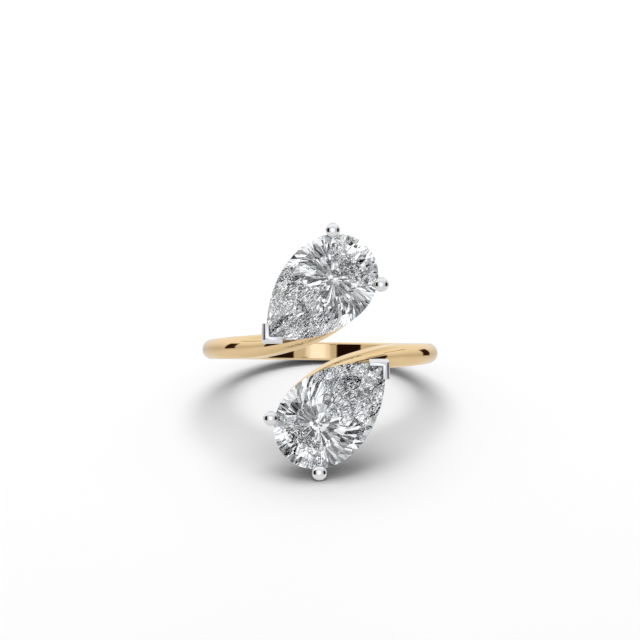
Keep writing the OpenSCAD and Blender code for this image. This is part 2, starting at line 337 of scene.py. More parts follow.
@dataclass
class Band:
    """The open band with its two arms, swept from a table of stations through a smooth cubic."""

    pear: Pear
    pose: Pose
    width: float = 1.6
    thick: float = 1.6
    shoulder_width: float = 1.9
    wall_share: float = 0.62
    inner_edge: float = 0.2
    arm_width: float = 0.95
    arm_thick: float = 0.95
    arm_wall_share: float = 0.72
    arm_rise: float = 2.1
    arm_lean: float = 22.0
    arm_upright: float = 16.0
    bite: float = 0.1
    end_rows: float = 0.35
    end_share: float = 0.9995
    long_stations: int = 560
    end_stations: int = 22
    base_points: int = 26
    edge_points: int = 6
    wall_points: int = 14
    dome_points: int = 44
    blur_points: int = 4
    blur_spread: float = 1.1
    # Turn from the head's axis, then shares: place along the finger, width, lean
    shank_shares: tuple = (
        (180, 0, 0, 0),
        (150, 0.05, 0, 0),
        (120, 0.1, 0.02, 0),
        (95, 0.14, 0.1, 0),
        (70, 0.19, 0.4, 0),
        (50, 0.3, 0.9, 0.1),
        (35, 0.4, 0.85, 0.35),
    )
    # Station on the stone's outline, then shares: edge outside the stone, rise, width,
    # thickness and walls, lean
    arm_shares: tuple = (
        (1.125, 0.58, 0, 0.3, 0.2, 0.8),
        (1.25, 0.3, 0.06, 0.45, 0.4, 1),
        (1.375, 0.06, 0.24, 0.62, 0.6, 1),
        (1.49, -0.06, 0.55, 0.8, 0.78, 1),
        (1.59, -0.08, 0.83, 0.92, 0.9, 1),
        (1.66, -0.06, 1, 1, 1, 1),
    )

    def rows(self) -> np.ndarray:
        """Stations of the upper half, from the bottom of the finger to the arm's end.

        Returns:
            Array of rows by the columns of Column.
        """
        def between(a: float, b: float, share: float) -> float:
            """Value at a share of the way from a to b."""
            return a + (b - a) * share

        table = [[turn, along * self.pear.tip_along, 0, between(self.width, self.shoulder_width, wide),
                  self.thick, self.wall_share, lean * self.arm_lean, 0]
                 for turn, along, wide, lean in self.shank_shares]
        for station, edge, rise, narrow, thin, lean in self.arm_shares:
            width = between(self.shoulder_width, self.arm_width, narrow)
            spot = np.array([station])
            flat = (self.pear.rim(spot) + self.pear.normal(spot) * (edge * self.width - width / 2))[0]
            across, along, _ = self.pear.on_head(np.array([flat[0], flat[1], 0.0]))
            lift = rise * self.arm_rise
            table.append([-math.degrees(math.asin(across / (self.pear.finger_radius + lift))), along, lift,
                          width, between(self.thick, self.arm_thick, thin),
                          between(self.wall_share, self.arm_wall_share, thin),
                          lean * self.arm_lean, rise * self.arm_upright])
        return np.array(table, dtype=float)

    def stations(self, q: np.ndarray) -> np.ndarray:
        """Smooth stations along the whole band.

        The other half is the same rows turned half round. A uniform cubic B-spline whose
        control points are the rows, less a sixth of their second difference, passes close
        to every row.

        Args:
            q: Places along the band, 0 at the bottom of the finger and the last row's
                number at the upper arm's end.

        Returns:
            Array of stations by columns.
        """
        rows = self.rows()
        last = len(rows) - 1
        turned = rows * np.array([-1, -1, 1, 1, 1, 1, -1, -1]) + np.array([360, 0, 0, 0, 0, 0, 0, 0])
        whole = np.vstack([turned[:0:-1], rows])
        before = 2 * whole[0] - whole[3:0:-1]
        after = 2 * whole[-1] - whole[-2:-5:-1]
        whole = np.vstack([before, whole, after])
        control = whole.copy()
        control[1:-1] -= (whole[:-2] - 2 * whole[1:-1] + whole[2:]) / 6
        place = q + last + 3
        i = np.floor(place).astype(int)
        f = (place - i)[:, None]
        return ((1 - f) ** 3 * control[i - 1] + (3 * f ** 3 - 6 * f * f + 4) * control[i]
                + (3 * f * f + 3 * f + 1 - 3 * f ** 3) * control[i + 1] + f ** 3 * control[i + 2]) / 6

    def centre(self, stations: np.ndarray) -> np.ndarray:
        """Foot of each station: on a circle about the finger, raised by its lift.

        Args:
            stations: Array of stations by columns.

        Returns:
            Array of design points.
        """
        radius = self.pear.finger_radius + stations[:, Column.LIFT]
        turn = np.radians(stations[:, Column.TURN])
        along = stations[:, Column.ALONG]
        return np.stack([-radius * np.sin(turn), along, radius * np.cos(turn)], axis=-1)

    def profile(self, width: np.ndarray, thick: np.ndarray, wall: np.ndarray,
                sink: np.ndarray, shrink: np.ndarray) -> np.ndarray:
        """Cross-sections of the band: flat inside, straight walls, and a dome of one arc.

        The closed outline is then blurred along itself over about 0.05 mm, which rounds
        its edges as a polishing wheel does.

        Args:
            width: Width of each station.
            thick: Thickness of each station.
            wall: Share of the thickness that the walls take.
            sink: Depth of the base under the finger hole's wall.
            shrink: How far each station is drawn in at the arms' ends.

        Returns:
            Array of stations by profile points by (across, out).
        """
        half = width / 2
        edge = self.inner_edge * shrink
        wall_top = wall * thick
        sag = thick - wall_top
        radius = (half ** 2 + sag ** 2) / (2 * sag)
        reach = np.arcsin(np.minimum(1, half / radius))

        def run(start: tuple, end: tuple, count: int) -> np.ndarray:
            """Straight run of points from one corner up to the next."""
            f = np.arange(count) / count
            return np.stack([a[:, None] + (b - a)[:, None] * f for a, b in zip(start, end)], axis=-1)

        angle = reach[:, None] * (1 - 2 * np.arange(self.dome_points) / self.dome_points)
        dome = np.stack([radius[:, None] * np.sin(angle),
                         thick[:, None] - radius[:, None] * (1 - np.cos(angle))], axis=-1)
        base_left, base_right = (-half + edge, -sink), (half - edge, -sink)
        outline = np.concatenate([
            run(base_left, base_right, self.base_points), run(base_right, (half, edge), self.edge_points),
            run((half, edge), (half, wall_top), self.wall_points), dome,
            run((-half, wall_top), (-half, edge), self.wall_points),
            run((-half, edge), base_left, self.edge_points),
        ], axis=1)
        offsets = np.arange(-self.blur_points, self.blur_points + 1)
        weights = np.exp(-0.5 * (offsets / self.blur_spread) ** 2)
        return sum(w * np.roll(outline, k, axis=1) for w, k in zip(weights / weights.sum(), offsets))

    def surface(self) -> np.ndarray:
        """Rings of the whole band.

        Each ring stands square to the band's path, leans by its station's angle, and
        shrinks over the arms' ends along a quarter ellipse, to all but a point. Points
        inside the finger hole are pushed straight out to its wall.

        Returns:
            Array of rings by points by 3, in design millimetres.
        """
        last = len(self.shank_shares) + len(self.arm_shares) - 1
        swing = np.linspace(0, np.pi / 2, self.end_stations + 1)[1:]
        tail = last - self.end_rows + self.end_rows * np.sin(swing) * self.end_share
        body = np.linspace(self.end_rows - last, last - self.end_rows, self.long_stations)
        q = np.concatenate([-tail[::-1], body, tail])
        past = np.clip((np.abs(q) - last + self.end_rows) / self.end_rows, 0, 1)
        shrink = np.sqrt(1 - past ** 2)

        here = self.stations(q)
        foot = self.centre(here)
        tangent = unit(self.centre(self.stations(q + NUDGE)) - self.centre(self.stations(q - NUDGE)))
        face = np.radians(here[:, Column.TURN] + here[:, Column.BACK])
        radial = np.stack([-np.sin(face), np.zeros_like(face), np.cos(face)], axis=-1)
        out = unit(radial - np.sum(radial * tangent, axis=-1, keepdims=True) * tangent)
        side = np.cross(out, tangent)
        lean = np.radians(here[:, Column.LEAN])[:, None]
        leaned = out * np.cos(lean) + side * np.sin(lean)
        across = side * np.cos(lean) - out * np.sin(lean)
        thick = here[:, Column.THICK]
        middle = foot + out * thick[:, None] / 2
        sink = self.bite * np.clip(1 - here[:, Column.LIFT] / self.bite, 0, None)
        flat = self.profile(here[:, Column.WIDTH] * shrink, thick * shrink,
                            here[:, Column.WALL], sink * shrink, shrink)
        rings = (middle[:, None] + across[:, None] * flat[..., :1]
                 + leaned[:, None] * (flat[..., 1:] - (thick * shrink / 2)[:, None, None]))
        distance = np.hypot(rings[..., 0], rings[..., 2])
        push = np.maximum(1, self.pear.finger_radius / distance)
        return rings * np.stack([push, np.ones_like(push), push], axis=-1)

    def build(self) -> bpy.types.Object:
        """Make the band, which stands for its CAD node.

        Returns:
            The band's object.
        """
        vertices, faces = grid_mesh(self.surface(), closed=False)
        made = add_mesh("polished_band", self.pose.place(vertices), faces)
        made.data.materials.append(YellowGold().material())
        # Kept out of reflections and out of the stones' view, so that the metal mirrors the
        # room alone and the stones stay colourless, as in the photograph
        made.visible_glossy = made.visible_transmission = False
        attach(made, "root")
        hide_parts("band")
        log.info("band: %d faces", len(faces))
        return made


# ---------------------------------------------------------------- settings

@dataclass
class Setting:
    """White gold setting of one stone: V-prong, two round claws, gallery rail and strut."""

    pear: Pear
    pose: Pose
    band_thick: float = 1.6
    claw: float = 1.2
    claw_out: float = 0.31
    claw_angle: float = 45.0
    claw_up: float = 0.2
    claw_flat: float = 0.38
    stem: float = 1.0
    foot: float = 0.5
    knee: float = -0.35
    foot_shift: float = 0.05
    vee_leg: float = 1.66
    vee_wall: float = 0.57
    vee_bevel: float = 0.22
    vee_ease: float = 0.3
    vee_up: float = 0.2
    vee_across: float = 0.38
    vee_along: float = 0.47
    vee_foot_leg: float = 0.3
    vee_low_leg: float = 0.8
    vee_corner: float = 0.3
    rail_in: float = 1.85
    rail_tip_in: float = 2.2
    rail_width: float = 0.6
    rail_height: float = 0.7
    rail_top: float = -1.9
    rail_power: float = 5.0
    seat_gap: float = 0.03
    seat_share: float = 1.2
    edge_radius: float = 0.05
    edge_angle: float = 28.0
    sharp_angle: float = 32.0
    sides: int = 56
    rail_rings: int = 160
    rail_sides: int = 28
    stem_rings: int = 36
    neck_rings: int = 9
    bead_rings: int = 30
    strut_rings: int = 12
    corner_steps: int = 8
    # Shares of the stem's radius in the rings that blunt its foot, and of the bead's in its last ring
    blunt: tuple[float, ...] = (0.25, 0.6, 0.85)
    pole: float = 0.02

    @property
    def rail_middle(self) -> float:
        """Height of the rail's middle over the girdle's lower edge."""
        return self.rail_top - self.rail_height / 2

    @property
    def claw_station(self) -> float:
        """Station of the claws on the round end, where the ellipse's angle is the claws'."""
        angle, pear = math.radians(self.claw_angle), self.pear
        return math.atan2(pear.round_length * math.sin(angle), pear.width / 2 * math.cos(angle)) / math.pi

    def rail_plan(self, station: np.ndarray) -> np.ndarray:
        """Middle line of the rail: the stone's outline drawn in about the culet.

        Args:
            station: Places on the stone's outline.

        Returns:
            Array of points (u, v).
        """
        p = self.pear.rim(station)
        u = p[..., 0] - self.pear.culet_forward
        tip = 1 - self.rail_tip_in / (self.pear.wing + self.pear.culet_forward)
        blunt = 1 - self.rail_in / (self.pear.round_length - self.pear.culet_forward)
        share = 1 - self.rail_in / (self.pear.width / 2)
        return np.stack([self.pear.culet_forward + u * np.where(u < 0, tip, blunt),
                         p[..., 1] * share], axis=-1)

    def rail(self) -> np.ndarray:
        """Rail: a rounded box section, which is a superellipse, carried round its plan.

        Returns:
            Array of rings by points by 3, in the stone's frame.
        """
        station = 2 * np.arange(self.rail_rings) / self.rail_rings
        plan = self.rail_plan(station)
        step = 10 * NUDGE
        ahead = unit(self.rail_plan((station + step) % 2) - self.rail_plan((station - step) % 2))
        normal = np.stack([ahead[:, 1], -ahead[:, 0]], axis=-1)
        angle = np.linspace(0, 2 * np.pi, self.rail_sides, endpoint=False)
        c, s = np.cos(angle), np.sin(angle)
        across = self.rail_width / 2 * np.sign(c) * np.abs(c) ** (2 / self.rail_power)
        up = self.rail_height / 2 * np.sign(s) * np.abs(s) ** (2 / self.rail_power)
        flat = plan[:, None] + normal[:, None] * across[None, :, None]
        height = np.broadcast_to(self.rail_middle + up, flat.shape[:2])
        return np.concatenate([flat, height[..., None]], axis=-1)

    def tube(self, path: np.ndarray, radius: np.ndarray) -> np.ndarray:
        """Round tube along a path: circles square to the path's direction.

        Args:
            path: Array of points.
            radius: Radius at each point.

        Returns:
            Array of rings by points by 3.
        """
        tangent = unit(np.gradient(path, axis=0))
        # Any direction does that no part of the path runs along
        side = unit(np.cross(tangent, np.array([0.3, 1.0, 0.1])))
        other = np.cross(tangent, side)
        angle = np.linspace(0, 2 * np.pi, self.sides, endpoint=False)[:, None]
        circle = side[:, None] * np.cos(angle) + other[:, None] * np.sin(angle)
        return path[:, None] + circle * radius[:, None, None]

    def claw_tube(self, station: float) -> np.ndarray:
        """Claw: a stem that leans out from the rail, stands upright and ends in a round bead.

        The stem is a quadratic curve from the rail over a knee beside the girdle. The bead
        is a ball with a flattened top, and its radius is taken where it passes the stem's.

        Args:
            station: Place of the claw on the stone's outline.

        Returns:
            Array of rings by points by 3, in the stone's frame.
        """
        spot = np.array([station])
        plan = (self.pear.rim(spot) + self.pear.normal(spot) * self.claw_out)[0]
        shifted = station + self.foot_shift if station < 1 else station - self.foot_shift
        heel = np.append(self.rail_plan(np.array([shifted]))[0], self.rail_middle)
        knee = np.append(plan, self.knee)
        top = np.append(plan, self.pear.girdle)
        middle = self.pear.girdle + self.claw_up
        f = np.linspace(0, 1, self.stem_rings)
        curve = ((1 - f) ** 2)[:, None] * heel + (2 * f * (1 - f))[:, None] * knee + (f * f)[:, None] * top
        stem = (self.foot + (self.stem - self.foot) * f) / 2
        ball = self.claw / 2
        cap = np.linspace(0, math.pi / 2, self.bead_rings)[1:]
        low = np.linspace(self.pear.girdle, middle, self.neck_rings)[1:]
        heights = np.concatenate([low, middle + ball * self.claw_flat * np.sin(cap)])
        upright = np.column_stack([np.tile(plan, (len(heights), 1)), heights])
        path = np.vstack([curve, upright])
        below = path[:len(f) + len(low)]
        bead = np.sqrt(np.clip(ball ** 2 - (below[:, 2] - middle) ** 2, 0, None))
        stem = np.concatenate([stem, np.full(len(low), self.stem / 2)])
        radius = np.concatenate([np.maximum(stem, bead), ball * np.cos(cap)])
        radius[-1] = ball * self.pole
        rings = self.tube(path, radius)
        centre = rings[0].mean(axis=0)
        foot = centre + (rings[0] - centre) * np.array(self.blunt)[:, None, None]
        return np.concatenate([foot, rings])

    def strut(self) -> np.ndarray:
        """Strut from the rail's tip to the V-prong: a straight round bar.

        Returns:
            Array of rings by points by 3, in the stone's frame.
        """
        tip = self.pear.rim(np.array([1.0]))[0]
        start = np.append(self.rail_plan(np.array([1.0]))[0], self.rail_middle)
        end = np.array([tip[0], tip[1], self.knee - self.stem])
        f = np.linspace(0, 1, self.strut_rings)[:, None]
        return self.tube(start + (end - start) * f, np.full(self.strut_rings, self.foot / 2))

    def vee_outline(self, leg: float, inset: float, height: float) -> np.ndarray:
        """One level of the V-prong: an L with a rounded outer corner.

        Args:
            leg: Length of both legs.
            inset: How far the outer sides are drawn in.
            height: Height over the girdle's lower edge.

        Returns:
            Array of points, from the outer corner in the design directions.
        """
        c = self.vee_corner
        angle = np.radians(180 + 90 * np.arange(self.corner_steps + 1) / self.corner_steps)
        arc = np.stack([inset + c + c * np.cos(angle), inset + c + c * np.sin(angle)], axis=-1)
        legs = np.array([[leg, inset], [leg, self.vee_wall], [self.vee_wall, self.vee_wall],
                         [self.vee_wall, leg], [inset, leg]])
        plan = np.vstack([arc, legs])
        return np.column_stack([plan, np.full(len(plan), height)])

    def vee(self) -> np.ndarray:
        """V-prong: L-shaped levels from its foot on the arm to a bevelled top.

        Returns:
            Array of levels by points by 3, in the design frame.
        """
        girdle = self.pear.girdle_height
        top = self.pear.girdle + self.vee_up
        foot = -girdle + math.sqrt((self.pear.finger_radius + self.band_thick / 2) ** 2
                                   - (self.pear.tip_across + self.vee_across) ** 2)
        bevel, ease = self.vee_bevel, self.vee_bevel * self.vee_ease
        levels = np.stack([
            self.vee_outline(self.vee_leg * self.vee_foot_leg + self.vee_wall / 2, 0, foot),
            self.vee_outline(self.vee_leg * self.vee_low_leg, 0, self.knee - bevel),
            self.vee_outline(self.vee_leg, 0, self.knee / 2),
            self.vee_outline(self.vee_leg, 0, top - bevel),
            self.vee_outline(self.vee_leg, ease, top - ease),
            self.vee_outline(self.vee_leg, bevel, top),
        ])
        return levels + np.array([-self.pear.tip_across - self.vee_across,
                                  self.pear.tip_along - self.vee_along, girdle])

    def vee_faces(self, levels: np.ndarray) -> Skin:
        """Skin the V-prong's levels, with one flat face at the top and one at the foot.

        Args:
            levels: Array of levels by points by 3.

        Returns:
            Vertices and faces, pointing outwards.
        """
        count, around = levels.shape[:2]
        faces = quads(count, around, closed=False)
        faces += [list(range(around))[::-1], list(range((count - 1) * around, count * around))]
        return outward(levels.reshape(-1, 3), faces)

    def cutter(self) -> bpy.types.Object:
        """The upper stone, grown by the seat gap, in the design frame.

        A copy of the CAD stone is merged, and each vertex moves out along its normal by a
        little more than the gap, so that the gap is there on the facets too.

        Returns:
            A temporary object.
        """
        mesh = frame["nodes"]["stone_upper"].data
        points = self.pose.design(vertices_of(mesh))
        keys, number = np.unique(np.round(points, 4), axis=0, return_inverse=True)
        faces = [[int(number.ravel()[i]) for i in polygon.vertices] for polygon in mesh.polygons]
        faces = [f for f in faces if len(set(f)) == len(f)]
        keys, faces = outward(keys, faces)
        made = add_mesh("stone_cutter", keys, faces)
        normals = np.empty(len(made.data.vertices) * 3)
        made.data.vertices.foreach_get("normal", normals)
        grown = keys + normals.reshape(-1, 3) * self.seat_gap * self.seat_share
        made.data.vertices.foreach_set("co", grown.ravel())
        made.data.update()
        return made

    def upper(self) -> bpy.types.Mesh:
        """Join the upper setting's parts into one shell and cut the stone's seat into it.

        Returns:
            The mesh, in design millimetres.
        """
        parts = [add_mesh("part_vee", *self.vee_faces(self.vee()))]
        edge = parts[0].modifiers.new("edges", "BEVEL")
        edge.width, edge.segments = self.edge_radius, 3
        edge.limit_method, edge.angle_limit = "ANGLE", math.radians(self.edge_angle)
        shells = [(self.rail(), True), (self.strut(), False), (self.claw_tube(self.claw_station), False),
                  (self.claw_tube(2 - self.claw_station), False)]
        parts += [add_mesh(f"part_{k}", *grid_mesh(self.pear.on_head(rings), closed))
                  for k, (rings, closed) in enumerate(shells)]
        whole = parts[0]
        steps = [(part, "UNION") for part in parts[1:]] + [(self.cutter(), "DIFFERENCE")]
        for other, operation in steps:
            step = whole.modifiers.new(operation, "BOOLEAN")
            step.object, step.operation, step.solver = other, operation, "MANIFOLD"
        mesh = finished(whole)
        for temporary in parts + [steps[-1][0]]:
            spare = temporary.data
            bpy.data.objects.remove(temporary)
            bpy.data.meshes.remove(spare)
        return mesh

    def build(self) -> list[bpy.types.Object]:
        """Make both settings, which stand for their CAD nodes.

        Returns:
            The two objects.
        """
        gold = WhiteGold().material()
        source = self.upper()
        points = vertices_of(source)
        made = []
        for half, name in ((Half.UPPER, "setting_upper"), (Half.LOWER, "setting_lower")):
            mesh = source.copy()
            mesh.name = name + "_metal"
            turned = points * np.array([half.value, half.value, 1.0])
            mesh.vertices.foreach_set("co", self.pose.place(turned).ravel())
            mesh.materials.clear()
            mesh.materials.append(gold)
            mesh.polygons.foreach_set("material_index", np.zeros(len(mesh.polygons), dtype=np.int32))
            mesh.polygons.foreach_set("use_smooth", np.ones(len(mesh.polygons), dtype=bool))
            mesh.update()
            mesh.set_sharp_from_angle(angle=math.radians(self.sharp_angle))
            metal = bpy.data.objects.new(name + "_metal", mesh)
            bpy.context.scene.collection.objects.link(metal)
            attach(metal, "root")
            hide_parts(name)
            log.info("%s: %d faces", name, len(mesh.polygons))
            made.append(metal)
        return made


# ---------------------------------------------------------------- finishes

def node(tree: Tree, kind: str, inputs: dict | None = None, **settings) -> bpy.types.Node:
    """Add a node with its settings and links.

    Args:
        tree: Node tree that the node goes into.
        kind: Type name of the node.
        inputs: Value or output socket for each input, by name or number.
        **settings: Attributes of the node.

    Returns:
        The node.
    """
    made = tree.nodes.new(kind)
    for key, value in settings.items():
        setattr(made, key, value)
    for key, value in (inputs or {}).items():
        if isinstance(value, Socket):
            tree.links.new(value, made.inputs[key])
        else:
            made.inputs[key].default_value = value
    return made


def ramp(tree: Tree, factor: Socket, stops: list[tuple]) -> Socket:
    """Add a colour ramp.

    Args:
        tree: Node tree.
        factor: Socket that drives the ramp.
        stops: Pairs of place and linear colour.

    Returns:
        The ramp's colour socket.
    """
    made = node(tree, "ShaderNodeValToRGB", {"Fac": factor})
    elements = made.color_ramp.elements
    while len(elements) < len(stops):
        elements.new(0.5)
    for element, (place, colour) in zip(elements, stops):
        element.position, element.color = place, colour
    return made.outputs["Color"]


def shell(name: str) -> tuple[bpy.types.Material, Tree]:
    """Start a material with an empty node tree.

    Args:
        name: The material's name.

    Returns:
        The material and its tree.
    """
    material = bpy.data.materials.new(name)
    material.use_nodes = True
    material.node_tree.nodes.clear()
    return material, material.node_tree


@dataclass(frozen=True)
class PolishedGold:
    """Cast gold, filed and polished with rouge on a felt wheel.

    The wheel leaves a mirror with hairlines of a few hundredths of a millimetre, drawn
    coarser here so that they show, and a faint haze where wear has dulled it.
    """

    name: str
    bright: str
    deep: str
    roughness: tuple[float, float]
    hairline_mm: float = 0.12
    hairline_run: tuple[float, float, float] = (0.15, 1.0, 0.4)
    hairline_depth: float = 0.1
    haze_mm: float = 2.5
    haze_from: float = 0.3
    haze_to: float = 0.7
    ripple: float = 0.02

    def material(self) -> bpy.types.Material:
        """Make the material.

        Returns:
            The material, named for its finish.
        """
        material, tree = shell(self.name)
        place = node(tree, "ShaderNodeTexCoord").outputs["Object"]
        haze = node(tree, "ShaderNodeTexNoise",
                    {"Vector": place, "Scale": 1 / (self.haze_mm * MM), "Detail": 3.0})
        drawn = node(tree, "ShaderNodeMapping", {"Vector": place, "Scale": self.hairline_run})
        hair = node(tree, "ShaderNodeTexNoise",
                    {"Vector": drawn.outputs[0], "Scale": 1 / (self.hairline_mm * MM), "Detail": 2.0})
        colour = ramp(tree, haze.outputs["Fac"],
                      [(self.haze_from, linear(self.deep)), (self.haze_to, linear(self.bright))])
        rough = node(tree, "ShaderNodeMapRange",
                     {"Value": haze.outputs["Fac"], "From Min": self.haze_from, "From Max": self.haze_to,
                      "To Min": self.roughness[0], "To Max": self.roughness[1]})
        bump = node(tree, "ShaderNodeBump", {"Height": hair.outputs["Fac"], "Strength": self.ripple,
                                             "Distance": self.hairline_mm * MM * self.hairline_depth})
        shader = node(tree, "ShaderNodeBsdfPrincipled",
                      {"Base Color": colour, "Roughness": rough.outputs["Result"], "Metallic": 1.0,
                       "Normal": bump.outputs["Normal"]})
        node(tree, "ShaderNodeOutputMaterial", {"Surface": shader.outputs["BSDF"]})
        return material


class YellowGold(PolishedGold):
    """14 karat yellow gold: a warm pale mirror."""

    def __init__(self) -> None:
        """Set the alloy's own colours."""
        super().__init__("polished_14k_yellow_gold", "e7ca9d", "e1c393", (0.02, 0.05))


class WhiteGold(PolishedGold):
    """14 karat white gold under rhodium plating: a bright neutral mirror."""

    def __init__(self) -> None:
        """Set the plating's own colours."""
        super().__init__("rhodium_plated_white_gold", "e4e4e5", "dcdcde", (0.03, 0.08))


@dataclass(frozen=True)
class CutDiamond:
    """Diamond, cut and polished to flat facets on a cast iron lap.

    It is clear and colourless. Its high index folds the light back out, so it shows the
    room in small bright and dark pieces.
    """

    clear: str = "fdfdfd"
    cool: str = "f6f9fc"
    index: float = 2.417
    cloud_mm: float = 4.0
    cloud_from: float = 0.35
    cloud_to: float = 0.65

    def material(self) -> bpy.types.Material:
        """Make the material.

        Returns:
            The material, named for its finish.
        """
        material, tree = shell("cut_diamond")
        place = node(tree, "ShaderNodeTexCoord").outputs["Object"]
        cloud = node(tree, "ShaderNodeTexNoise",
                     {"Vector": place, "Scale": 1 / (self.cloud_mm * MM), "Detail": 1.0})
        colour = ramp(tree, cloud.outputs["Fac"],
                      [(self.cloud_from, linear(self.clear)), (self.cloud_to, linear(self.cool))])
        shader = node(tree, "ShaderNodeBsdfPrincipled",
                      {"Base Color": colour, "Roughness": 0.0, "IOR": self.index, "Transmission Weight": 1.0})
        node(tree, "ShaderNodeOutputMaterial", {"Surface": shader.outputs["BSDF"]})
        return material


@dataclass
class Stones:
    """The two pear-shaped brilliants, with the fine facets of a modern cut.

    They lie inside their CAD solids, which they stand for. Each tier is a ring of points
    at a share of the way from the culet's axis to the girdle, and the facets are the
    faces of the convex hull of all tiers.
    """

    pear: Pear
    pose: Pose
    crown: float = 1.05
    rim_points: int = 48
    # Share of the way to the girdle, height as a share of crown or pavilion, count, offset
    crown_tiers: tuple = ((0.58, 1.0, 8, 0.0), (0.8, 0.58, 16, 0.5))
    pavilion_tiers: tuple = ((0.2, 0.81, 12, 0.0),)
    culet_depth: float = 0.99

    def tier(self, share: float, height: float, count: int, offset: float) -> np.ndarray:
        """One ring of points at a share of the way from the culet's axis to the girdle.

        Args:
            share: Share of the way.
            height: Height over the girdle's lower edge.
            count: Number of points.
            offset: Share of a step by which the first point is moved on.

        Returns:
            Array of points in the stone's own frame.
        """
        station = (2 * (np.arange(count) + offset) / count) % 2
        middle = np.array([self.pear.culet_forward, 0.0])
        flat = middle + share * (self.pear.rim(station) - middle)
        return np.column_stack([flat, np.full(count, height)])

    def points(self) -> np.ndarray:
        """Corner points of one stone: girdle, crown, pavilion and culet.

        Returns:
            Array of points in the stone's own frame.
        """
        girdle, deep = self.pear.girdle, self.pear.pavilion
        rings = [self.tier(1.0, 0.0, self.rim_points, 0.0), self.tier(1.0, girdle, self.rim_points, 0.0)]
        rings += [self.tier(share, girdle + rise * self.crown, count, offset)
                  for share, rise, count, offset in self.crown_tiers]
        rings += [self.tier(share, -depth * deep, count, offset)
                  for share, depth, count, offset in self.pavilion_tiers]
        rings.append(np.array([[self.pear.culet_forward, 0.0, -self.culet_depth * deep]]))
        return np.vstack(rings)

    def build(self) -> list[bpy.types.Object]:
        """Make both stones with flat facets.

        Returns:
            The two objects.
        """
        diamond = CutDiamond().material()
        corners = self.pear.on_head(self.points())
        hull = bmesh.new()
        for corner in corners:
            hull.verts.new(corner)
        made = bmesh.ops.convex_hull(hull, input=hull.verts)
        spare = {v for v in made["geom_interior"] + made["geom_unused"] if isinstance(v, bmesh.types.BMVert)}
        bmesh.ops.delete(hull, geom=list(spare), context="VERTS")
        hull.verts.index_update()
        vertices = np.array([v.co[:] for v in hull.verts])
        faces = [[v.index for v in face.verts] for face in hull.faces]
        hull.free()
        vertices, faces = outward(vertices, faces)
        stones = []
        for half, name in ((Half.UPPER, "stone_upper"), (Half.LOWER, "stone_lower")):
            turned = vertices * np.array([half.value, half.value, 1.0])
            stone = add_mesh(name + "_cut", self.pose.place(turned), faces)
            stone.data.polygons.foreach_set("use_smooth", np.zeros(len(faces), dtype=bool))
            stone.data.materials.append(diamond)
            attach(stone, "root")
            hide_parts(name)
            log.info("%s: %d facets, %d corners of %d", name, len(faces), len(vertices), len(corners))
            stones.append(stone)
        return stones


# ---------------------------------------------------------------- studio

@dataclass(frozen=True)
class DarkFlag:
    """A dark part of the room, as a rectangle seen from the ring.

    Around is the angle in degrees from the head's direction towards +X, and up is the
    sine of the height over the finger's middle plane. Depth is the share of the light
    that the flag takes, and each soft is the width of its edges.
    """

    around: float
    half_around: float
    up: float
    half_up: float
    depth: float
    soft_around: float = 2.0
    soft_up: float = 0.03


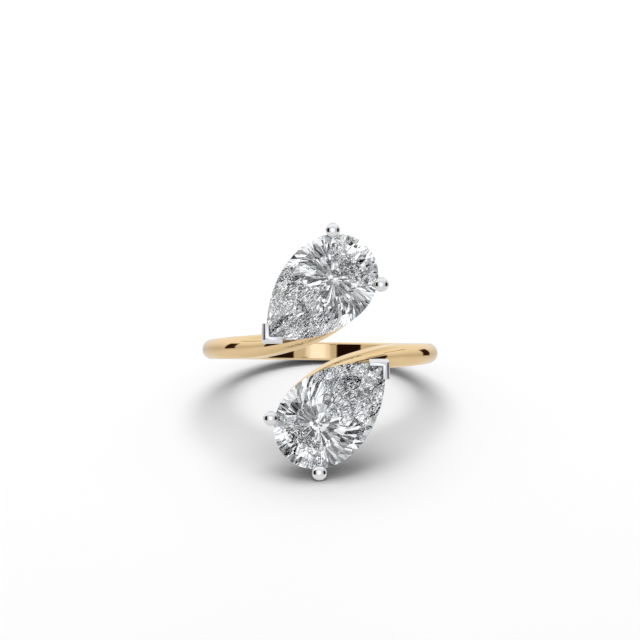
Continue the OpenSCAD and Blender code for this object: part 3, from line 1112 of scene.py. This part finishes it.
@dataclass
class Studio:
    """White table, soft light from all round, and the camera at the photograph's angle."""

    pose: Pose
    floor_size: float = 6.0
    board_mm: float = 40.0
    board_tones: tuple[str, str] = ("f6f6f6", "f8f8f8")
    room_peak: float = 1.25
    glow: float = 1.0
    glow_angle: float = 17.0
    table_light: float = 0.45
    key_power: float = 2.25
    key_size: float = 0.5
    key_at: tuple[float, float, float] = (0.0, 0.16, 0.5)
    glitter_scale: float = 5.2
    glitter_peak: float = 1.45
    hood_angle: float = 30.0
    hood_left: float = 0.35
    camera_at: tuple[float, float, float] = (-8.9, 0.2, 220.0)
    aimed_at: tuple[float, float, float] = (0.0, 2.67, 0.0)
    focal: float = 144.7
    sensor: float = 36.0
    flags: tuple = (
        DarkFlag(45, 17, 0.02, 0.24, 0.97),
        DarkFlag(-37, 16, 0.02, 0.28, 0.98),
        DarkFlag(48, 14, 0.38, 0.12, 0.55, 5.0, 0.08),
        DarkFlag(0, 24, 0.29, 0.03, 0.45),
        DarkFlag(-101, 9, 0.16, 0.29, 0.96, 3.0, 0.08),
        DarkFlag(125.5, 9, 0.15, 0.28, 0.96, 3.0, 0.08),
        DarkFlag(-82, 26, 0.62, 0.035, 0.75, 5.0, 0.03),
        DarkFlag(82, 26, 0.6, 0.035, 0.75, 5.0, 0.03),
    )
    # Sine of the height over the finger's middle plane, and brightness as a share of the peak
    heights: tuple = ((-1.0, 0.64), (-0.6, 0.74), (-0.35, 0.74), (-0.15, 0.64), (0.0, 0.57), (0.15, 0.66),
                      (0.3, 0.79), (0.45, 0.9), (0.72, 0.97), (1.0, 0.68))
    # Brightness and the light's colour there
    tints: tuple = ((0.0, "ffb890"), (0.3, "fff0e2"), (0.6, "fffefc"), (0.8, "fffffe"), (0.97, "f8fbff"),
                    (1.0, "e8eeff"))
    # Share of the noise and the colour that the stones find there
    glitter: tuple = ((0.415, "000000"), (0.45, "1d1e20"), (0.475, "868789"), (0.52, "bebfc1"),
                      (0.56, "f4f5f5"), (0.64, "ffffff"))

    def floor(self) -> None:
        """Lay the table's top at the ring's lowest point."""
        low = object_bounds()[0][2]
        half = self.floor_size / 2
        corners = np.array([[-half, -half, low], [half, -half, low], [half, half, low], [-half, half, low]])
        made = add_mesh("table_top", corners, [[0, 1, 2, 3]])
        material, tree = shell("white_matte_board")
        place = node(tree, "ShaderNodeTexCoord").outputs["Object"]
        grain = node(tree, "ShaderNodeTexNoise", {"Vector": place, "Scale": 1 / (self.board_mm * MM)})
        colour = ramp(tree, grain.outputs["Fac"], list(zip((0.3, 0.7), map(linear, self.board_tones))))
        shader = node(tree, "ShaderNodeBsdfPrincipled", {"Base Color": colour, "Roughness": 0.9,
                                                         "Specular IOR Level": 0.1})
        node(tree, "ShaderNodeOutputMaterial", {"Surface": shader.outputs["BSDF"]})
        made.data.materials.append(material)
        # Kept out of reflections, so that the metal and the stones mirror the room below it too
        made.visible_glossy = made.visible_transmission = False
        made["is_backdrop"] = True

    def flag_mask(self, tree: Tree, flag: DarkFlag, around: Socket, up: Socket) -> Socket:
        """Brightness left by one flag: one minus its depth inside its rectangle, one outside.

        Args:
            tree: The world's node tree.
            flag: The flag.
            around: Angle of the ray about the finger axis, in degrees.
            up: Sine of the ray's height.

        Returns:
            The socket of the brightness.
        """
        sides = []
        for value, middle, half, soft in ((around, flag.around, flag.half_around, flag.soft_around),
                                          (up, flag.up, flag.half_up, flag.soft_up)):
            offset = node(tree, "ShaderNodeMath", {0: value, 1: middle}, operation="SUBTRACT").outputs[0]
            apart = node(tree, "ShaderNodeMath", {0: offset}, operation="ABSOLUTE").outputs[0]
            sides.append(node(tree, "ShaderNodeMapRange",
                              {"Value": apart, "From Min": half - soft, "From Max": half,
                               "To Min": 1.0, "To Max": 0.0}).outputs["Result"])
        inside = node(tree, "ShaderNodeMath", {0: sides[0], 1: sides[1]}, operation="MULTIPLY").outputs[0]
        return node(tree, "ShaderNodeMapRange", {"Value": inside, "To Min": 1.0,
                                                 "To Max": 1.0 - flag.depth}).outputs["Result"]

    def room(self, tree: Tree, along: list[Socket]) -> Socket:
        """Colour of the room that the metal mirrors.

        Its brightness goes by the height, with a glow about the head's direction added and
        the flags taken off, and its colour by the brightness.

        Args:
            tree: The world's node tree.
            along: Shares of the ray along the three design directions.

        Returns:
            The socket of the colour.
        """
        turn = node(tree, "ShaderNodeMath", {0: along[0], 1: along[2]}, operation="ARCTAN2").outputs[0]
        around = node(tree, "ShaderNodeMath", {0: turn}, operation="DEGREES").outputs[0]
        height = node(tree, "ShaderNodeMapRange", {"Value": along[1], "From Min": -1.0}).outputs["Result"]
        shade = ramp(tree, height, [((y + 1) / 2, (v, v, v, 1.0)) for y, v in self.heights])
        level = node(tree, "ShaderNodeMath", {0: shade, 1: self.room_peak}, operation="MULTIPLY").outputs[0]
        glow = node(tree, "ShaderNodeMapRange",
                    {"Value": along[2], "From Min": math.cos(math.radians(self.glow_angle)), "From Max": 1.0,
                     "To Min": 0.0, "To Max": self.glow}, interpolation_type="SMOOTHSTEP").outputs["Result"]
        level = node(tree, "ShaderNodeMath", {0: level, 1: glow}, operation="ADD").outputs[0]
        for flag in self.flags:
            left = self.flag_mask(tree, flag, around, along[1])
            level = node(tree, "ShaderNodeMath", {0: level, 1: left}, operation="MULTIPLY").outputs[0]
        share = node(tree, "ShaderNodeMath", {0: level, 1: self.room_peak}, operation="DIVIDE").outputs[0]
        tint = ramp(tree, share, [(place, linear(code)) for place, code in self.tints])
        return node(tree, "ShaderNodeVectorMath", {0: tint, "Scale": level}, operation="SCALE").outputs[0]

    def sparks(self, tree: Tree, ray: Socket, ahead: Socket) -> Socket:
        """Colour of the room that the stones' facets mirror.

        It is broken into bright and dark patches, as a real room is, because an even one
        leaves the stones flat grey, and is darker about the head's direction.

        Args:
            tree: The world's node tree.
            ray: Direction of the ray.
            ahead: Share of the ray along the head's direction.

        Returns:
            The socket of the colour.
        """
        noise = node(tree, "ShaderNodeTexNoise", {"Vector": ray, "Scale": self.glitter_scale, "Detail": 2.0})
        glitter = ramp(tree, noise.outputs["Fac"], [(place, linear(code)) for place, code in self.glitter])
        hood = node(tree, "ShaderNodeMapRange",
                    {"Value": ahead, "From Min": math.cos(math.radians(self.hood_angle)), "From Max": 1.0,
                     "To Min": self.glitter_peak, "To Max": self.glitter_peak * self.hood_left},
                    interpolation_type="SMOOTHSTEP").outputs["Result"]
        return node(tree, "ShaderNodeVectorMath", {0: glitter, "Scale": hood}, operation="SCALE").outputs[0]

    def lamp(self) -> None:
        """Hang one soft light over the ring, out of its reflections, for the soft shadow."""
        lamp = bpy.data.lights.new("light_above", "AREA")
        lamp.shape, lamp.size, lamp.energy = "DISK", self.key_size, self.key_power
        above = bpy.data.objects.new("light_above", lamp)
        above.location = self.key_at
        above.visible_glossy = above.visible_transmission = False
        bpy.context.scene.collection.objects.link(above)

    def light(self) -> None:
        """Light the ring from all round: one room for the metal, one for the stones, one for the table."""
        world = bpy.data.worlds.new("white_room")
        bpy.context.scene.world = world
        world.use_nodes = True
        tree = world.node_tree
        tree.nodes.clear()
        ray = node(tree, "ShaderNodeTexCoord").outputs["Generated"]
        along = [node(tree, "ShaderNodeVectorMath", {0: ray, 1: tuple(self.pose.turn() @ axis)},
                      operation="DOT_PRODUCT").outputs["Value"] for axis in np.eye(3)]
        path = node(tree, "ShaderNodeLightPath").outputs
        table = (self.table_light, self.table_light, self.table_light, 1.0)
        seen = self.room(tree, along)
        # The Mix node's inputs 6 and 7 are its two colours
        for kind, other in (("Is Diffuse Ray", table), ("Is Singular Ray", self.sparks(tree, ray, along[2]))):
            seen = node(tree, "ShaderNodeMix", {0: path[kind], 6: seen, 7: other},
                        data_type="RGBA").outputs[2]
        back = node(tree, "ShaderNodeBackground", {"Color": seen, "Strength": 1.0})
        node(tree, "ShaderNodeOutputWorld", {"Surface": back.outputs["Background"]})

    def camera(self) -> None:
        """Set the camera square to the head, as in the photograph."""
        made = bpy.data.objects.new("camera", bpy.data.cameras.new("camera"))
        bpy.context.scene.collection.objects.link(made)
        made.data.lens, made.data.sensor_width = self.focal, self.sensor
        made.data.clip_start, made.data.clip_end = 0.01, 50.0
        place = self.pose.place(np.array([self.camera_at, self.aimed_at]))
        up = self.pose.turn() @ np.array([0.0, 1.0, 0.0])
        back = unit(place[0] - place[1])
        right = unit(np.cross(up, back))
        basis = np.column_stack([right, np.cross(back, right), back])
        made.matrix_world = Matrix.Translation(Vector(place[0])) @ Matrix(basis.tolist()).to_4x4()
        bpy.context.scene.camera = made

    def build(self) -> None:
        """Make the floor, the light and the camera, and set how light is carried and shown."""
        self.camera()
        self.floor()
        self.light()
        self.lamp()
        scene = bpy.context.scene
        scene.view_settings.view_transform = "Standard"
        scene.view_settings.look = "None"
        scene.cycles.max_bounces = 24
        scene.cycles.transmission_bounces = 24
        scene.cycles.glossy_bounces = 16
        scene.cycles.diffuse_bounces = 4
        # Light thrown through the stones onto the table would show as white specks of noise
        scene.cycles.caustics_reflective = scene.cycles.caustics_refractive = False


def main() -> None:
    """Build the ring and its studio in order."""
    pose = Pose(tuple(frame["record"]["mounts"][0]["axis"]))
    pear = Pear()
    Studio(pose).build()
    Band(pear, pose).build()
    Setting(pear, pose).build()
    Stones(pear, pose).build()


if __name__ == "__main__":
    main()
